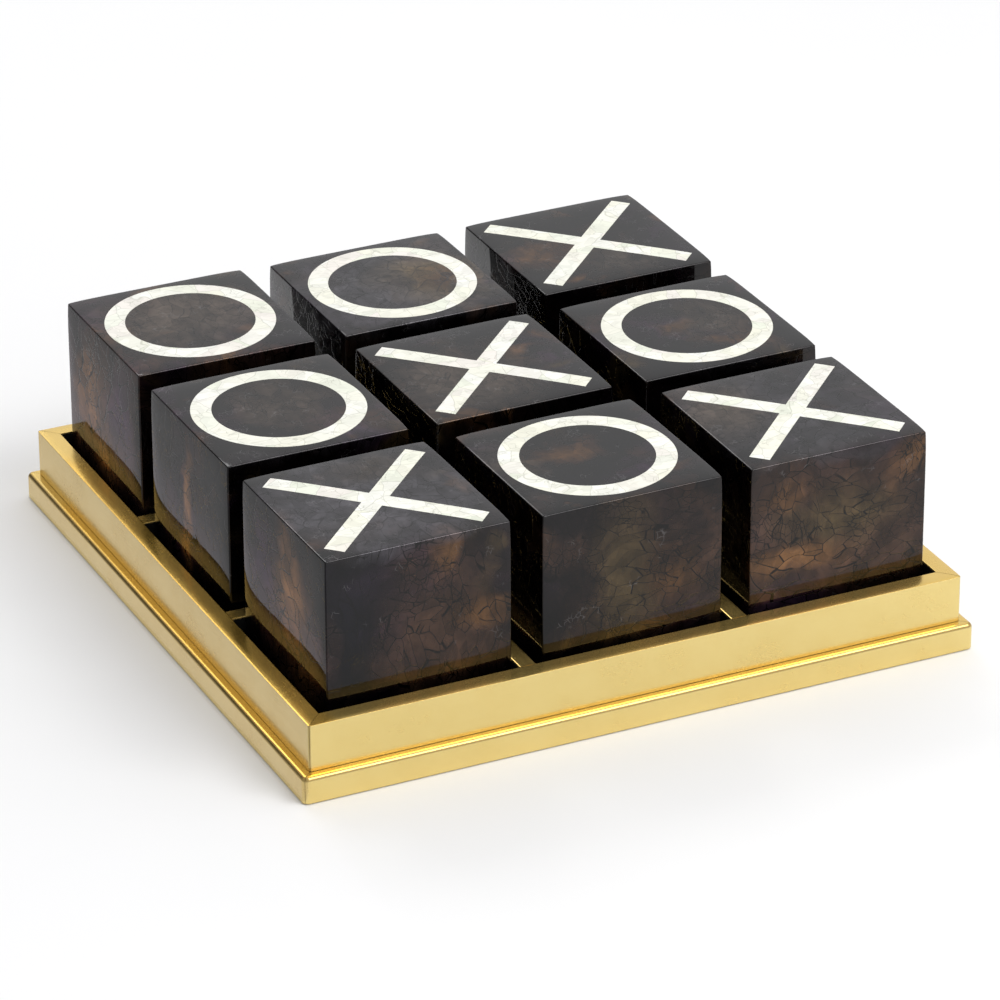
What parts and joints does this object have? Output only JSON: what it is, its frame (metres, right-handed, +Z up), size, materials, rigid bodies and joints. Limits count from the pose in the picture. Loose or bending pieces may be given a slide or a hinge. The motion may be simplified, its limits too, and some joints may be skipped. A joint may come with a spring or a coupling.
{
  "type": "tic tac toe set",
  "caption": "Square tray with a brass rim and plinth, its grid of cells holding loose lacquered cubes with inlaid nought and cross marks on top.",
  "frame": {"origin": "centre of the tray's underside, on the table", "axes": "+X to the right along the tray's front edge, +Y to the back, +Z up"},
  "size_m": [0.305, 0.305, 0.0977],
  "materials": {
    "plinth_brass": "satin sheet",
    "rim_brass": "satin sheet",
    "cap_brass": "satin strip",
    "black_board": "painted matt black",
    "raw_board": "raw fibreboard",
    "felt": "felt",
    "core_wood": "raw wood",
    "dark_shell": "crackled shell veneer under clear gloss lacquer",
    "cream_shell": "cream shell inlay under clear gloss lacquer",
    "screw_steel": "plated"
  },
  "bodies": {
    "tray": {"base_felt": "felt", "base_board": "raw_board", "floor_board": "black_board", "cell_felts": "felt", "rim_screws": "screw_steel", "plinth_front": "plinth_brass", "plinth_right": "plinth_brass", "plinth_back": "plinth_brass", "plinth_left": "plinth_brass", "rail_front": "black_board", "rail_right": "black_board", "rail_back": "black_board", "rail_left": "black_board", "rim_front": "rim_brass", "rim_right": "rim_brass", "rim_back": "rim_brass", "rim_left": "rim_brass", "divider_left": "black_board", "divider_right": "black_board", "divider_front": "black_board", "divider_rear": "black_board", "cap_left": "cap_brass", "cap_right": "cap_brass", "cap_front": "cap_brass", "cap_rear": "cap_brass"},
    "block_front_left": {"core_front_left": "core_wood", "veneer_front_left": "dark_shell", "cross_front_left": "cream_shell"},
    "block_front_centre": {"core_front_centre": "core_wood", "veneer_front_centre": "dark_shell", "nought_front_centre": "cream_shell"},
    "block_front_right": {"core_front_right": "core_wood", "veneer_front_right": "dark_shell", "cross_front_right": "cream_shell"},
    "block_mid_left": {"core_mid_left": "core_wood", "veneer_mid_left": "dark_shell", "nought_mid_left": "cream_shell"},
    "block_mid_centre": {"core_mid_centre": "core_wood", "veneer_mid_centre": "dark_shell", "cross_mid_centre": "cream_shell"},
    "block_mid_right": {"core_mid_right": "core_wood", "veneer_mid_right": "dark_shell", "nought_mid_right": "cream_shell"},
    "block_back_left": {"core_back_left": "core_wood", "veneer_back_left": "dark_shell", "nought_back_left": "cream_shell"},
    "block_back_centre": {"core_back_centre": "core_wood", "veneer_back_centre": "dark_shell", "nought_back_centre": "cream_shell"},
    "block_back_right": {"core_back_right": "core_wood", "veneer_back_right": "dark_shell", "cross_back_right": "cream_shell"}
  },
  "joints": [
    {"name": "lift_front_left", "type": "slide", "parent": "tray", "child": "block_front_left", "axis": [0, 0, 1], "range_m": [0, 0.09]},
    {"name": "lift_front_centre", "type": "slide", "parent": "tray", "child": "block_front_centre", "axis": [0, 0, 1], "range_m": [0, 0.09]},
    {"name": "lift_front_right", "type": "slide", "parent": "tray", "child": "block_front_right", "axis": [0, 0, 1], "range_m": [0, 0.09]},
    {"name": "lift_mid_left", "type": "slide", "parent": "tray", "child": "block_mid_left", "axis": [0, 0, 1], "range_m": [0, 0.09]},
    {"name": "lift_mid_centre", "type": "slide", "parent": "tray", "child": "block_mid_centre", "axis": [0, 0, 1], "range_m": [0, 0.09]},
    {"name": "lift_mid_right", "type": "slide", "parent": "tray", "child": "block_mid_right", "axis": [0, 0, 1], "range_m": [0, 0.09]},
    {"name": "lift_back_left", "type": "slide", "parent": "tray", "child": "block_back_left", "axis": [0, 0, 1], "range_m": [0, 0.09]},
    {"name": "lift_back_centre", "type": "slide", "parent": "tray", "child": "block_back_centre", "axis": [0, 0, 1], "range_m": [0, 0.09]},
    {"name": "lift_back_right", "type": "slide", "parent": "tray", "child": "block_back_right", "axis": [0, 0, 1], "range_m": [0, 0.09]}
  ]
}
